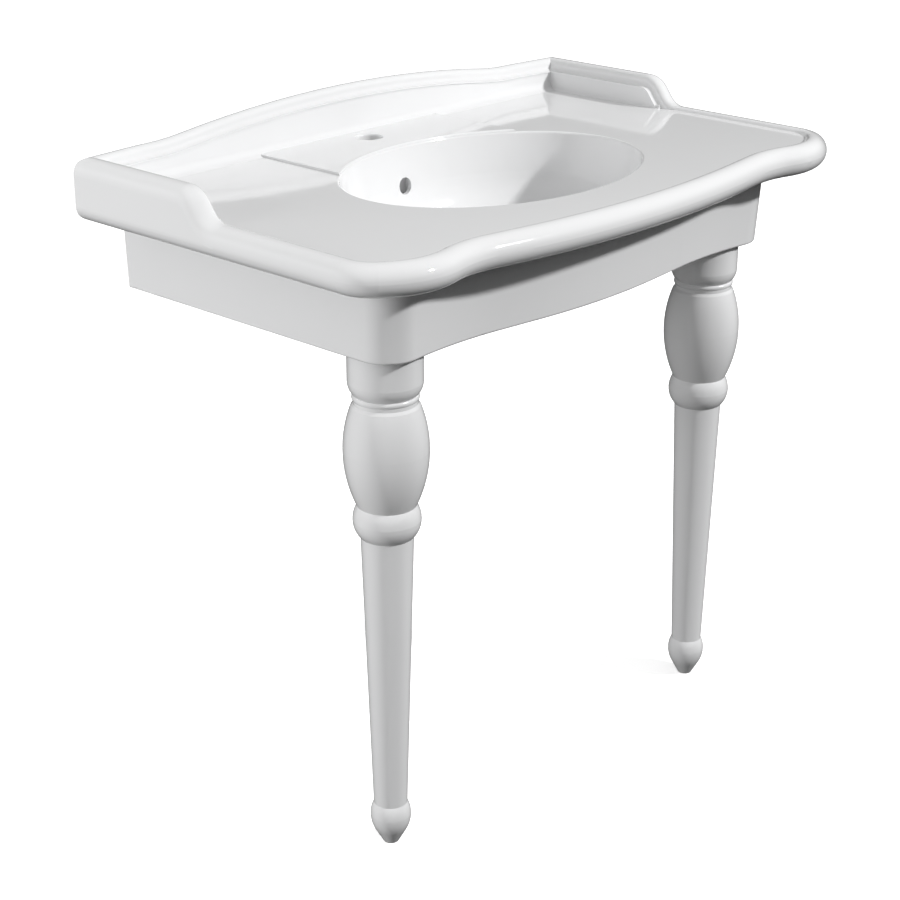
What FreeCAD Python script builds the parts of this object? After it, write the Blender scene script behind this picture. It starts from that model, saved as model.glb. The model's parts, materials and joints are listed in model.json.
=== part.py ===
import FreeCAD, Part
import math
import os

# Console washbasin on two turned legs, in millimetres.
# +X is the user's right, +Y points to the wall and +Z is up. The origin is on the floor,
# in the middle of the basin's width and of its depth.

V = FreeCAD.Vector
UP = V(0, 0, 1)

# ---- the casting as a whole ----
overall_width = 914.0
overall_depth = 561.0
deck_height = 819.0
deck_thickness = 18.0

# ---- plan of the rim, from the middle of its front round to the side: headings in degrees ----
rim_bow_radius = 1321.0
rim_bow_heading = 9.15
rim_sweep_radius = 142.0
rim_sweep_heading = -16.5
rim_lobe_radius = 116.5
rim_lobe_heading = 40.7
rim_corner_radius = 62.3
side_heading = 90.0

# ---- rolled rim section ----
rim_crest_rise = 5.0
rim_roll_radius = 20.0
crest_flat = 2.0
rim_foot_radius = 4.0
rim_band = 44.0
band_overlap = 1.0

# ---- moulding on the inner side of the splashback and of the side upstands ----
moulding_roll_radius = 8.5
moulding_cove_radius = 8.0
moulding_fillet_height = 2.0
moulding_fillet_step = 1.5
wall_roll_radius = 10.0
side_cove_radius = 5.0
wall_cove_radius = 14.0
cap_overlap = 4.0

# ---- splashback and side upstands ----
upstand_rise = 44.0
hump_rise = 23.0
hump_half_length = 340.0
crown_half_length = 285.0
ogee_end_from_wall = 266.0
ogee_slope = 53.0
ogee_top_radius = 35.0
ogee_foot_radius = 29.0
rear_edge_radius = 10.0
end_turn = 5.5
end_turn_radius = 300.0

# ---- apron below the deck ----
apron_bottom_height = 678.5
apron_side_from_rim = 82.5
apron_front_from_rim = 80.3
apron_side_draft = 4.7
apron_front_draft = 8.1
apron_bow_radius = 950.0
apron_bow_heading = 6.8
apron_sweep_radius = 600.0
apron_sweep_heading = -7.5
apron_corner_radius = 41.0
apron_wall = 14.0
apron_edge_radius = 3.0
leg_from_apron_side = 57.5
leg_from_apron_front = 74.7
leg_pad_thickness = 25.0
leg_pad_margin = 8.0

# ---- bowl ----
bowl_half_width = 231.5
bowl_half_depth = 167.5
bowl_from_front = 268.0
bowl_depth = 124.0
bowl_wall = 12.0
bowl_lip_radius = 3.0
bowl_wall_lean = 7.0
bowl_knee_radius = 70.0
bowl_floor_slope = 4.0
bowl_floor_flat = 38.0

# ---- raised tap deck, tap hole and wall fixing holes ----
tap_deck_half_width = 170.0
tap_deck_rise = 3.0
tap_deck_edge_radius = 2.5
tap_deck_lip_share = 0.6
tap_hole_radius = 17.5
tap_hole_from_wall = 64.0
tap_hole_edge_radius = 3.0
wall_hole_radius = 8.0
wall_hole_spacing = 280.0
wall_hole_height = 742.0

# ---- overflow passage behind and below the bowl ----
overflow_radius = 11.5
overflow_below_deck = 54.0
overflow_half_width = 14.0
overflow_depth = 9.0
overflow_wall = 8.0
overflow_skin = 5.0
overflow_floor_wall = 7.0
waste_boss_radius = 45.0

# ---- turned legs, from the floor up ----
foot_tip_radius = 10.0
foot_taper_radius = 20.8
foot_taper_height = 19.6
foot_radius = 26.3
foot_radius_height = 41.0
foot_neck_radius = 21.8
foot_neck_height = 59.0
shaft_top_radius = 33.0
shaft_top_height = 435.0
ring_radius = 42.4
ring_height = 458.0
waist_radius = 37.0
waist_height = 477.0
bulb_radius = 52.8
bulb_height = 549.0
collar_radius = 42.4
collar_height = 606.0
groove_radius = 39.6
groove_bottom_height = 609.5
groove_top_height = 614.0
astragal_radius = 41.0
astragal_height = 616.5
drum_neck_radius = 39.4
drum_neck_height = 621.0
drum_shoulder_radius = 44.4
drum_shoulder_height = 629.0
drum_radius = 46.1
drum_round_height = 637.0
leg_wall = 8.5
leg_vent_radius = 4.0
leg_floor_height = 14.0
leg_cap_thickness = 34.0
leg_bore_bulge_height = 542.0

# ---- fixings that tie each leg to the basin ----
leg_gasket_thickness = 1.5
leg_gasket_radius = 44.0
stud_radius = 5.0
thread_clearance = 0.1
insert_radius = 10.0
insert_length = 26.0
insert_clearance = 0.3
insert_below_top = 1.0
stud_hole_radius = 7.0
stud_above_floor = 2.0
stud_above_nut = 6.0
cushion_radius = 20.0
cushion_thickness = 3.0
washer_radius = 17.0
washer_thickness = 2.5
washer_clearance = 0.5
nut_across_flats = 17.0
nut_height = 8.0
nut_chamfer = 0.3

# ---- slotted waste with its lift plug ----
waste_hole_radius = 23.0
waste_seat_radius = 34.0
waste_gasket_thickness = 1.5
waste_flange_radius = 32.0
waste_flange_thickness = 3.0
waste_tail_radius = 20.95
waste_bore_radius = 18.0
waste_tail_length = 66.0
waste_outlet_length = 22.0
waste_relief_width = 2.0
waste_relief_depth = 0.8
waste_slot_width = 16.0
waste_floor_thickness = 8.0
plug_seat_radius = 20.8
plug_seat_depth = 2.0
lower_gasket_radius = 31.0
lower_gasket_height = 8.0
slip_washer_radius = 30.0
slip_washer_thickness = 2.0
backnut_radius = 29.0
backnut_height = 9.0
backnut_lug_count = 6
backnut_lug_width = 8.0
backnut_lug_rise = 2.5
spider_depth = 26.0
spider_height = 6.0
spider_web_width = 4.0
spider_hub_radius = 9.0
cartridge_radius = 8.0
cartridge_spigot_radius = 5.0
cartridge_spigot_length = 11.0
cartridge_floor = 2.0
cartridge_gap = 1.3
plug_stem_radius = 3.0
plug_stem_length = 27.0
plug_running_clearance = 0.06
plug_radius = 29.0
plug_thickness = 5.0
plug_edge_radius = 2.0
plug_seal_outer = 19.5
plug_seal_inner = 11.0
plug_seal_thickness = 2.0
plug_seat_gap = 0.3

# ---- places worked out from the dimensions above ----
half_width = overall_width / 2
wall_y = overall_depth / 2
front_y = -overall_depth / 2
apron_half_width = half_width - apron_side_from_rim
apron_front_y = front_y + apron_front_from_rim
leg_x = apron_half_width - leg_from_apron_side
leg_y = apron_front_y + leg_from_apron_front
crest_height = deck_height + rim_crest_rise
rim_underside = crest_height - 2 * rim_roll_radius
deck_underside = deck_height - deck_thickness
upstand_top = deck_height + upstand_rise
rim_centre_height = crest_height - rim_roll_radius
cap_depth = rim_roll_radius + cap_overlap
side_crest_x = half_width - rim_roll_radius - crest_flat
wall_crest_y = wall_y - wall_roll_radius
moulding_reach = moulding_roll_radius + moulding_cove_radius
side_field = rim_roll_radius + crest_flat + moulding_reach - moulding_fillet_step
wall_field = wall_roll_radius + moulding_reach - moulding_fillet_step
bowl_y = front_y + bowl_from_front
turn_sine = math.sin(math.radians(end_turn))
turn_cosine = math.cos(math.radians(end_turn))
end_along = V(turn_cosine, -turn_sine, 0)
end_inward = V(-turn_sine, -turn_cosine, 0)
turn_centre = V(hump_half_length, wall_y - end_turn_radius, 0)
end_start = turn_centre - end_inward * end_turn_radius
bowl_floor = deck_height - bowl_depth
tap_deck_height = deck_height + tap_deck_rise
tap_hole_y = wall_y - tap_hole_from_wall
passage_top = bowl_floor - waste_floor_thickness
passage_bottom = passage_top - overflow_depth
waste_underside = passage_bottom - overflow_floor_wall
leg_top = apron_bottom_height - leg_gasket_thickness
leg_bore_top = leg_top - leg_cap_thickness
insert_top = leg_top - insert_below_top
insert_bottom = insert_top - insert_length
pad_top = apron_bottom_height + leg_pad_thickness
cushion_top = pad_top + cushion_thickness
washer_top = cushion_top + washer_thickness
nut_top = washer_top + nut_height
flange_underside = bowl_floor - waste_flange_thickness
seat_floor = flange_underside - waste_gasket_thickness
seal_floor = bowl_floor - plug_seat_depth
seal_bottom = seal_floor + plug_seat_gap
plug_bottom = seal_bottom + plug_seal_thickness
spider_bottom = bowl_floor - spider_depth
spider_top = spider_bottom + spider_height
cartridge_top = plug_bottom - cartridge_gap
gasket_bottom = waste_underside - lower_gasket_height
slip_bottom = gasket_bottom - slip_washer_thickness
nut_bottom = slip_bottom - backnut_height


def line(p, q):
    """A straight edge."""
    return Part.LineSegment(p, q).toShape()


def arc3(p, q, r):
    """The arc that runs from p through q to r."""
    return Part.Arc(p, q, r).toShape()


def arc_about(centre, p, q):
    """The short arc from p to q round a centre."""
    radius = (p - centre).Length
    middle = (p + q) * 0.5 - centre
    middle.normalize()
    return arc3(p, centre + middle * radius, q)


def face_of(edges):
    """The flat face inside a closed row of edges."""
    return Part.Face(Part.Wire(edges))


def tube(outer, inner, bottom, top, x, y):
    """An upright tube between two heights."""
    base = V(x, y, bottom)
    height = top - bottom
    return Part.makeCylinder(outer, height, base).cut(Part.makeCylinder(inner, height, base))


def box(x0, x1, y0, y1, z0, z1):
    """A box between two corners."""
    return Part.makeBox(x1 - x0, y1 - y0, z1 - z0, V(x0, y0, z0))


def mirrored(shape):
    """The mirror image in the middle plane of the basin."""
    return shape.mirror(V(0, 0, 0), V(1, 0, 0))


def with_mirror(shapes):
    """Shapes of the right half together with their images on the left."""
    return shapes + [mirrored(shape) for shape in shapes]


def sweep(section, moves):
    """Carry a section through moves, one solid to each.

    A move is ("line", vector) or ("turn", centre, axis, degrees).
    """
    solids = []
    for move in moves:
        if move[0] == "line":
            solids.append(section.extrude(move[1]))
            section = section.translated(move[1])
        else:
            centre, axis, degrees = move[1:]
            solids.append(section.revolve(centre, axis, degrees))
            section = section.copy()
            section.rotate(centre, axis, degrees)
    return solids


# ---- plan outline shared by the rim, the deck and the apron ----


def heading_vector(heading):
    """Unit vector along the outline for a heading in degrees."""
    return V(math.cos(math.radians(heading)), math.sin(math.radians(heading)), 0)


def inward(heading):
    """Unit vector from the outline to the inside for a heading in degrees."""
    return heading_vector(heading + 90)


def outline(arcs, half, front, back, inset):
    """Right half of a serpentine plan, from the middle of its front to its back.

    arcs holds (bend, heading at its end, radius), where bend is +1 for convex and -1 for
    concave. A straight link after the first arc takes up what is left of the half width.
    Gives a list of (bend, start, centre, start heading, end heading, end); bend 0 is straight.
    """
    radii = [radius - bend * inset for bend, heading, radius in arcs]
    spent = 0.0
    before = 0.0
    for (bend, heading, radius), r in zip(arcs, radii):
        spent += bend * r * (math.sin(math.radians(heading)) - math.sin(math.radians(before)))
        before = heading
    first_heading = arcs[0][1]
    link = (half - inset - spent) / math.cos(math.radians(first_heading))
    steps = []
    point = V(0, front + inset, 0)
    before = 0.0
    for (bend, heading, radius), r in zip(arcs, radii):
        centre = point + inward(before) * (bend * r)
        end = centre - inward(heading) * (bend * r)
        steps.append((bend, point, centre, before, heading, end))
        point = end
        if len(steps) == 1:
            end = point + heading_vector(heading) * link
            steps.append((0, point, None, heading, heading, end))
            point = end
        before = heading
    steps.append((0, point, None, before, before, V(point.x, back, 0)))
    return steps


def outline_face(steps, height):
    """The whole plan as a flat face at a height."""
    lift = V(0, 0, height)
    right = []
    for bend, start, centre, before, heading, end in steps:
        if bend == 0:
            right.append(line(start + lift, end + lift))
            continue
        middle = centre - inward((before + heading) / 2) * (bend * (start - centre).Length)
        right.append(arc3(start + lift, middle + lift, end + lift))
    last = steps[-1][5]
    back = line(V(last.x, last.y, height), V(-last.x, last.y, height))
    left = [mirrored(edge) for edge in right]
    return Part.Face(Part.Wire(Part.__sortEdges__(right + [back] + left)))


def outline_moves(steps):
    """The outline as moves for a section that starts at the middle of the front."""
    moves = []
    for bend, start, centre, before, heading, end in steps:
        if bend == 0:
            moves.append(("line", end - start))
            continue
        axis = UP if heading > before else V(0, 0, -1)
        moves.append(("turn", centre, axis, abs(heading - before)))
    return moves


def rim_outline(inset):
    """Plan of the rim, moved in by an inset."""
    arcs = [
        (1, rim_bow_heading, rim_bow_radius),
        (-1, rim_sweep_heading, rim_sweep_radius),
        (1, rim_lobe_heading, rim_lobe_radius),
        (1, side_heading, rim_corner_radius),
    ]
    return outline(arcs, half_width, front_y, wall_y, inset)


def apron_outline(side_draft, front_draft, inset, back):
    """Plan of the apron at a level of its draft, moved in by an inset."""
    arcs = [
        (1, apron_bow_heading, apron_bow_radius),
        (-1, apron_sweep_heading, apron_sweep_radius),
        (1, side_heading, apron_corner_radius),
    ]
    return outline(arcs, apron_half_width + side_draft, apron_front_y - front_draft, back, inset)


# ---- deck, rim, upstands and splashback ----


def rim_section():
    """Closed section of the rolled rim at the middle of the front."""
    r = rim_roll_radius
    roll = moulding_roll_radius
    foot = rim_foot_radius
    crest_end = r + crest_flat
    drop = roll + foot - rim_crest_rise
    reach = math.sqrt((roll + foot) ** 2 - drop**2)
    foot_u = crest_end + reach
    share = roll / (roll + foot)

    def at(u, z):
        return V(0, front_y + u, z)

    roll_centre = at(crest_end, crest_height - roll)
    foot_centre = at(foot_u, deck_height + foot)
    join = roll_centre + (foot_centre - roll_centre) * share
    outer_centre = at(r, crest_height - r)
    return face_of([
        line(at(rim_band, rim_underside), at(rim_band, deck_height)),
        line(at(rim_band, deck_height), at(foot_u, deck_height)),
        arc_about(foot_centre, at(foot_u, deck_height), join),
        arc_about(roll_centre, join, at(crest_end, crest_height)),
        line(at(crest_end, crest_height), at(r, crest_height)),
        arc_about(outer_centre, at(r, crest_height), at(0, crest_height - r)),
        arc_about(outer_centre, at(0, crest_height - r), at(r, rim_underside)),
        line(at(r, rim_underside), at(rim_band, rim_underside)),
    ])


def rim():
    """The rim section carried round the front and both sides."""
    return with_mirror(sweep(rim_section(), outline_moves(rim_outline(0.0))))


def deck():
    """The flat deck inside the rim."""
    steps = rim_outline(rim_band - band_overlap)
    return outline_face(steps, deck_underside).extrude(UP * deck_thickness)


def cap_section(outer_radius, flat, place):
    """Section of the moulded top: place turns (distance in, height over crest) to a point."""
    roll = moulding_roll_radius
    cove = moulding_cove_radius
    crest_end = outer_radius + flat
    neck = crest_end + roll
    arris = neck + cove
    fillet = roll + cove + moulding_fillet_height
    field = arris - moulding_fillet_step
    edges = [
        line(place(0, -cap_depth), place(0, -outer_radius)),
        arc_about(place(outer_radius, -outer_radius), place(0, -outer_radius), place(outer_radius, 0)),
        arc_about(place(crest_end, -roll), place(crest_end, 0), place(neck, -roll)),
        arc_about(place(arris, -roll), place(neck, -roll), place(arris, -roll - cove)),
        line(place(arris, -roll - cove), place(arris, -fillet)),
        line(place(arris, -fillet), place(field, -fillet)),
        line(place(field, -fillet), place(field, -cap_depth)),
        line(place(field, -cap_depth), place(0, -cap_depth)),
    ]
    if flat > 0:
        edges.insert(2, line(place(outer_radius, 0), place(crest_end, 0)))
    return face_of(edges)


def ogee_line_length():
    """Length of the straight part of the ogee between its two arcs."""
    slope = math.radians(ogee_slope)
    arc_drop = (ogee_top_radius + ogee_foot_radius) * (1 - math.cos(slope))
    return (upstand_top - crest_height - arc_drop) / math.sin(slope)


def ogee_top_y():
    """Where the upstand's level top gives way to the ogee."""
    slope = math.radians(ogee_slope)
    reach = (ogee_top_radius + ogee_foot_radius) * math.sin(slope)
    return wall_y - ogee_end_from_wall + reach + ogee_line_length() * math.cos(slope)


def ogee_points(offset):
    """Start, end and centre of each ogee arc at an offset below the crest line."""
    slope = math.radians(ogee_slope)
    down = V(0, -math.cos(slope), -math.sin(slope))
    normal = V(0, -math.sin(slope), math.cos(slope))
    top_centre = V(0, ogee_top_y(), upstand_top - ogee_top_radius)
    top_end = top_centre + normal * ogee_top_radius
    foot_start = top_end + down * ogee_line_length()
    foot_centre = foot_start + normal * ogee_foot_radius
    a = top_centre + UP * (ogee_top_radius - offset)
    b = top_centre + normal * (ogee_top_radius - offset)
    c = foot_centre - normal * (ogee_foot_radius + offset)
    d = foot_centre - UP * (ogee_foot_radius + offset)
    return top_centre, foot_centre, a, b, c, d


def side_cap_section(y):
    """Section of the moulded top of the right upstand at a place along it."""
    return cap_section(rim_roll_radius, crest_flat, lambda u, h: V(half_width - u, y, upstand_top + h))


def behind_crest(reach):
    """Everything behind the upright plane through the crest of the splashback's right end."""
    block = Part.makeBox(2 * reach, reach, 2 * reach, V(-reach, 0, -reach))
    block.rotate(V(0, 0, 0), UP, -end_turn)
    return block.translated(corner_crest())


def upstand_cap():
    """Moulded top of the right upstand, from the splashback's crest down its ogee to the rim."""
    top_centre, foot_centre, a, b, c, d = ogee_points(0.0)
    section = side_cap_section(wall_y)
    moves = [
        ("line", V(0, ogee_top_y() - wall_y, 0)),
        ("turn", top_centre, V(1, 0, 0), ogee_slope),
        ("line", c - b),
        ("turn", foot_centre, V(-1, 0, 0), ogee_slope),
    ]
    pieces = sweep(section, moves)
    pieces[0] = pieces[0].cut(behind_crest(overall_width))
    return pieces


def upstand_plate():
    """The right upstand below its moulded top."""
    top_centre, foot_centre, a, b, c, d = ogee_points(rim_roll_radius)
    foot = V(0, wall_y, d.z)
    back = V(0, wall_y, a.z)
    profile = face_of([
        line(foot, back),
        line(back, a),
        arc_about(top_centre, a, b),
        line(b, c),
        arc_about(foot_centre, c, d),
        line(d, foot),
    ])
    return profile.translated(V(half_width - side_field, 0, 0)).extrude(V(side_field, 0, 0))


def hump_turn():
    """Steepest angle of the splashback's top line in degrees."""
    return math.degrees(2 * math.atan(hump_rise / hump_half_length))


def hump_radii():
    """Radius of the crown and of the reverse curve beside it."""
    rise = math.sin(math.radians(hump_turn()))
    return crown_half_length / rise, (hump_half_length - crown_half_length) / rise


def corner_crest():
    """Where the crests of the splashback and of the right upstand meet."""
    start = end_start + end_inward * wall_roll_radius
    length = (side_crest_x - start.x) / turn_cosine
    return start + end_along * length + UP * upstand_top


def end_length():
    """Length of the splashback's straight end, up to the section at the meeting of the crests."""
    return (corner_crest() - end_start).dot(end_along)


def wall_moves(length):
    """The line of the wall face right of the hump: a slight turn forward, then straight."""
    return [
        ("turn", turn_centre, V(0, 0, -1), end_turn),
        ("line", end_along * length),
    ]


def splashback_cap():
    """Moulded top of the right half of the splashback."""
    crown, reverse = hump_radii()
    top = upstand_top + hump_rise
    moves = [
        ("turn", V(0, 0, top - crown), V(0, 1, 0), hump_turn()),
        ("turn", V(hump_half_length, 0, upstand_top + reverse), V(0, -1, 0), hump_turn()),
    ]
    section = cap_section(wall_roll_radius, 0.0, lambda u, h: V(0, wall_y - u, top + h))
    return sweep(section, moves + wall_moves(end_length()))


def splashback_plate():
    """The splashback below its moulded top, between the two turns forward."""
    crown, reverse = hump_radii()
    turn = math.radians(hump_turn())
    top = upstand_top + hump_rise
    crown_centre = V(0, 0, top - crown)
    side_centre = V(hump_half_length, 0, upstand_top + reverse)
    crown_top = V(0, 0, top - rim_roll_radius)
    join = crown_centre + V(math.sin(turn), 0, math.cos(turn)) * (crown - rim_roll_radius)
    foot = V(hump_half_length, 0, upstand_top - rim_roll_radius)
    low = V(hump_half_length, 0, rim_centre_height)
    right = [
        arc_about(crown_centre, crown_top, join),
        arc_about(side_centre, join, foot),
        line(foot, low),
    ]
    bottom = line(low, V(-low.x, 0, low.z))
    edges = right + [bottom] + [mirrored(edge) for edge in right]
    profile = Part.Face(Part.Wire(Part.__sortEdges__(edges)))
    return profile.translated(V(0, wall_y - wall_field, 0)).extrude(V(0, wall_field, 0))


def splashback_ends():
    """The plain lower part of the splashback's right end."""
    x = hump_half_length
    corners = [(wall_y, 0), (wall_y, 1), (wall_y - wall_field, 1), (wall_y - wall_field, 0), (wall_y, 0)]
    heights = (rim_centre_height, upstand_top - rim_roll_radius)
    section = Part.Face(Part.makePolygon([V(x, y, heights[level]) for y, level in corners]))
    return sweep(section, wall_moves(end_length()))


def corner_cap():
    """Outer top corner at the wall, where the side roll meets the wall roll."""
    crest = corner_crest()
    r = wall_roll_radius

    def place(u, h):
        return crest + end_inward * (u - r) + UP * h

    quarter = face_of([
        line(place(0, -cap_depth), place(0, -r)),
        arc_about(place(r, -r), place(0, -r), place(r, 0)),
        line(place(r, 0), place(r, -cap_depth)),
        line(place(r, -cap_depth), place(0, -cap_depth)),
    ])
    along_wall = quarter.extrude(end_along * (half_width - side_crest_x + cap_depth))
    along_side = side_cap_section(crest.y - cap_depth).extrude(V(0, wall_y - crest.y + cap_depth, 0))
    return along_side.common(along_wall)


def end_wedge():
    """What the right end of the wall face leaves clear behind it."""
    beyond = wall_y + band_overlap
    far = end_start + end_along * (half_width - end_start.x + cap_depth)
    low = rim_underside - band_overlap
    start = V(hump_half_length, wall_y, low)
    bend = end_start + UP * low
    plan = face_of([
        arc_about(turn_centre + UP * low, start, bend),
        line(bend, far + UP * low),
        line(far + UP * low, V(far.x, beyond, low)),
        line(V(far.x, beyond, low), V(start.x, beyond, low)),
        line(V(start.x, beyond, low), start),
    ])
    return plan.extrude(UP * (upstand_top - low + hump_rise))


def cove_section(corner, across, r):
    """Concave foot between an upright field and the deck."""
    high = corner + UP * r
    far = corner + across * r
    low = corner - UP * band_overlap
    back = corner - across * band_overlap
    return face_of([
        arc_about(far + UP * r, high, far),
        line(far, far - UP * band_overlap),
        line(far - UP * band_overlap, low - across * band_overlap),
        line(low - across * band_overlap, back + UP * r),
        line(back + UP * r, high),
    ])


def foot_coves():
    """Coves along the feet of the right half of the splashback and of the right upstand."""
    field_y = wall_y - wall_field
    wall_section = cove_section(V(0, field_y, deck_height), V(0, -1, 0), wall_cove_radius)
    moves = [("line", V(hump_half_length, 0, 0))] + wall_moves(end_length())
    front = ogee_top_y() - ogee_top_radius
    start = V(half_width - side_field, front, deck_height)
    side_section = cove_section(start, V(-1, 0, 0), side_cove_radius)
    return sweep(wall_section, moves) + [side_section.extrude(V(0, field_y - front, 0))]


def rear_edge_cut():
    """What rounds the right half of the rim's lower edge at the wall."""
    r = rear_edge_radius
    corner = V(0, wall_y + band_overlap, rim_underside - band_overlap)
    level = V(0, wall_y - r, corner.z)
    inner = V(0, wall_y - r, rim_underside)
    outer = V(0, wall_y, rim_underside + r)
    rear = V(0, corner.y, outer.z)
    section = face_of([
        line(corner, level),
        line(level, inner),
        arc_about(V(0, wall_y - r, rim_underside + r), inner, outer),
        line(outer, rear),
        line(rear, corner),
    ])
    moves = [("line", V(hump_half_length, 0, 0))] + wall_moves(half_width)
    return sweep(section, moves)


# ---- apron, leg pads and bowl ----


def apron_block():
    """The apron as a solid block with drafted sides, up into the deck."""
    low = outline_face(apron_outline(0.0, 0.0, 0.0, wall_y), apron_bottom_height)
    high_plan = apron_outline(apron_side_draft, apron_front_draft, 0.0, wall_y)
    high = outline_face(high_plan, deck_underside + deck_thickness / 2)
    block = Part.makeLoft([low.OuterWire, high.OuterWire], True, True)
    edges = []
    for edge in block.Edges:
        box_of = edge.BoundBox
        at_foot = box_of.ZMax < apron_bottom_height + band_overlap
        if at_foot and box_of.YMin < wall_y - band_overlap:
            edges.append(edge)
    return block.makeFillet(apron_edge_radius, edges)


def under_cavity():
    """The hollow inside the apron, open at the bottom."""
    plan = apron_outline(0.0, 0.0, apron_wall, wall_y - apron_wall)
    floor = apron_bottom_height - band_overlap
    return outline_face(plan, floor).extrude(UP * (deck_underside - floor))


def leg_pads(block):
    """Thick pads in the front corners of the apron for the legs."""
    reach = drum_radius + leg_pad_margin
    pad = box(leg_x - reach, half_width, front_y, leg_y + reach, apron_bottom_height, pad_top)
    return with_mirror([pad.common(block)])


def bowl_form(half_w, half_d, floor, knee, lip, top):
    """A bowl-shaped solid: a turned shape drawn narrower from front to back."""
    lean = math.radians(bowl_wall_lean)
    slope = math.radians(bowl_floor_slope)
    down = V(-math.sin(lean), 0, -math.cos(lean))
    off_wall = V(-math.cos(lean), 0, math.sin(lean))
    off_floor = V(-math.sin(slope), 0, math.cos(slope))
    lip_centre = V(half_w, 0, deck_height - lip)
    wall_top = lip_centre + off_wall * lip
    flat = V(bowl_floor_flat, 0, floor)
    away = (wall_top + off_wall * knee - flat).dot(off_floor)
    centre = wall_top + off_wall * knee + down * ((knee - away) / down.dot(off_floor))
    wall_foot = centre - off_wall * knee
    floor_end = centre - off_floor * knee
    edges = [
        line(V(0, 0, top), V(0, 0, floor)),
        line(V(0, 0, floor), flat),
        line(flat, floor_end),
        arc_about(centre, floor_end, wall_foot),
    ]
    if lip > 0:
        rim_point = V(half_w, 0, deck_height)
        edges.append(line(wall_foot, wall_top))
        edges.append(arc_about(lip_centre, wall_top, rim_point))
        edges.append(line(rim_point, V(half_w, 0, top)))
        edges.append(line(V(half_w, 0, top), V(0, 0, top)))
    else:
        cut_off = wall_top + down * ((top - wall_top.z) / down.z)
        edges.append(line(wall_foot, cut_off))
        edges.append(line(cut_off, V(0, 0, top)))
    turned = face_of(edges).revolve(V(0, 0, 0), UP, 360)
    squeeze = FreeCAD.Matrix()
    squeeze.scale(1.0, half_d / half_w, 1.0)
    return turned.transformGeometry(squeeze).translated(V(0, bowl_y, 0))


def bowl_shell():
    """The outer form of the bowl below the deck."""
    wall = bowl_wall
    return bowl_form(bowl_half_width + wall, bowl_half_depth + wall, bowl_floor - wall,
                     bowl_knee_radius + wall / 2, 0.0, deck_underside + deck_thickness / 2)


def bowl_hollow():
    """What is taken out of the deck and of the shell to leave the bowl."""
    return bowl_form(bowl_half_width, bowl_half_depth, bowl_floor, bowl_knee_radius,
                     bowl_lip_radius, upstand_top)


def bowl_back_y(below_deck):
    """Inner face of the bowl's back wall in the middle, at a depth below the deck."""
    lean_in = below_deck * math.tan(math.radians(bowl_wall_lean))
    return bowl_y + bowl_half_depth * (1 - (bowl_lip_radius + lean_in) / bowl_half_width)


def passage_near_y():
    """Front face of the upright overflow passage."""
    return bowl_back_y(overflow_below_deck) + overflow_skin


def overflow_boss():
    """Walls round the overflow passage and round the waste hole."""
    half = overflow_half_width + overflow_wall
    near = passage_near_y()
    back = near + overflow_depth + overflow_wall
    upright = box(-half, half, near - overflow_skin, back, waste_underside, deck_underside + band_overlap)
    level = box(-half, half, bowl_y, back, waste_underside, bowl_floor)
    height = bowl_floor - waste_underside
    boss = Part.makeCylinder(waste_boss_radius, height, V(0, bowl_y, waste_underside))
    return [upright, level, boss]


def overflow_passage():
    """The overflow hole and the passage from it down to the waste."""
    half = overflow_half_width
    hole_z = deck_height - overflow_below_deck
    near = passage_near_y()
    far = near + overflow_depth
    start = V(0, near - 2 * bowl_wall, hole_z)
    hole = Part.makeCylinder(overflow_radius, far - start.y, start, V(0, 1, 0))
    upright = box(-half, half, near, far, passage_bottom, hole_z + overflow_radius)
    level = box(-half, half, bowl_y, far, passage_bottom, passage_top)
    return [hole, upright, level]


def tap_deck():
    """Raised part of the deck behind the bowl."""
    half = tap_deck_half_width
    lip = tap_deck_lip_share * bowl_lip_radius
    long_r = bowl_half_width - lip
    short_r = bowl_half_depth * long_r / bowl_half_width
    low = deck_underside + deck_thickness / 2
    oval = Part.Ellipse(V(0, bowl_y, low), long_r, short_r).toShape()
    hollow = Part.Face(Part.Wire([oval])).extrude(UP * overall_depth)
    pad = box(-half, half, bowl_y, wall_y - wall_field / 2, low, tap_deck_height).cut(hollow)
    edges = []
    for edge in pad.Edges:
        box_of = edge.BoundBox
        on_top = box_of.ZMin > tap_deck_height - band_overlap / 2
        if on_top and box_of.YMin < wall_y - wall_field:
            edges.append(edge)
    return pad.makeFillet(tap_deck_edge_radius, edges)


def tap_hole():
    """The tap hole with a rounded upper edge."""
    r = tap_hole_radius
    edge = tap_hole_edge_radius
    top = tap_deck_height
    section = face_of([
        line(V(0, 0, deck_underside - band_overlap), V(r, 0, deck_underside - band_overlap)),
        line(V(r, 0, deck_underside - band_overlap), V(r, 0, top - edge)),
        arc_about(V(r + edge, 0, top - edge), V(r, 0, top - edge), V(r + edge, 0, top)),
        line(V(r + edge, 0, top), V(r + edge, 0, top + band_overlap)),
        line(V(r + edge, 0, top + band_overlap), V(0, 0, top + band_overlap)),
        line(V(0, 0, top + band_overlap), V(0, 0, deck_underside - band_overlap)),
    ])
    return section.revolve(V(0, 0, 0), UP, 360).translated(V(0, tap_hole_y, 0))


def basin_holes():
    """Waste hole and seat, wall fixing holes and stud holes."""
    depth = upstand_top - waste_underside
    waste = Part.makeCylinder(waste_hole_radius, depth, V(0, bowl_y, waste_underside - band_overlap))
    seat = Part.makeCylinder(waste_seat_radius, depth, V(0, bowl_y, seat_floor))
    wall_start = V(wall_hole_spacing / 2, wall_y - 2 * apron_wall, wall_hole_height)
    wall_hole = Part.makeCylinder(wall_hole_radius, 3 * apron_wall, wall_start, V(0, 1, 0))
    stud_start = V(leg_x, leg_y, apron_bottom_height - band_overlap)
    stud_hole = Part.makeCylinder(stud_hole_radius, 2 * leg_pad_thickness, stud_start)
    return [waste, seat] + with_mirror([wall_hole, stud_hole])


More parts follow.
